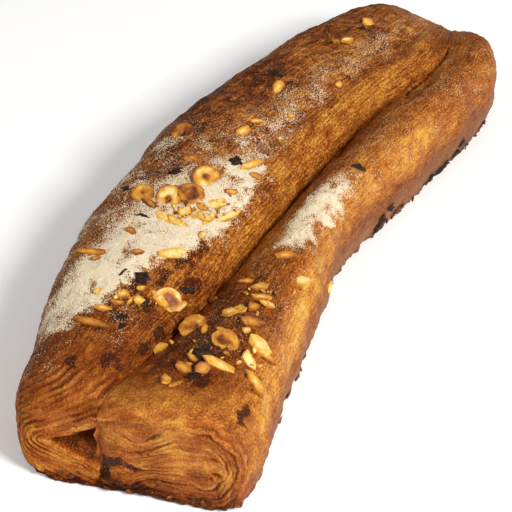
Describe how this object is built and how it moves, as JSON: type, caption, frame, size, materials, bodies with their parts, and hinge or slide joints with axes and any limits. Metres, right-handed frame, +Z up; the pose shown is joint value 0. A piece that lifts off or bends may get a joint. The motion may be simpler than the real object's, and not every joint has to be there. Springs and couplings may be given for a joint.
{
  "type": "danish pastry bar",
  "caption": "Long bowed bar of baked laminated dough, folded in from both sides to a crease along the top, cut across at an end, with sliced hazelnuts and sugar on its crust.",
  "frame": {"origin": "on the table, under the middle of the bar's box", "axes": "+X along the bar from its cut end to its far end, +Y towards the broad roll, +Z up"},
  "size_m": [0.334, 0.1296, 0.0576],
  "materials": {
    "crust": "golden-brown baked crust, egg-washed to a soft sheen",
    "nuts": "toasted nut, matt with browned rims",
    "burnt_bits": "scorched, nearly black and rough",
    "sugar": "white sugar grains, matt with small glints"
  },
  "bodies": {
    "root": {"pastry_bar": "crust"}
  },
  "joints": []
}
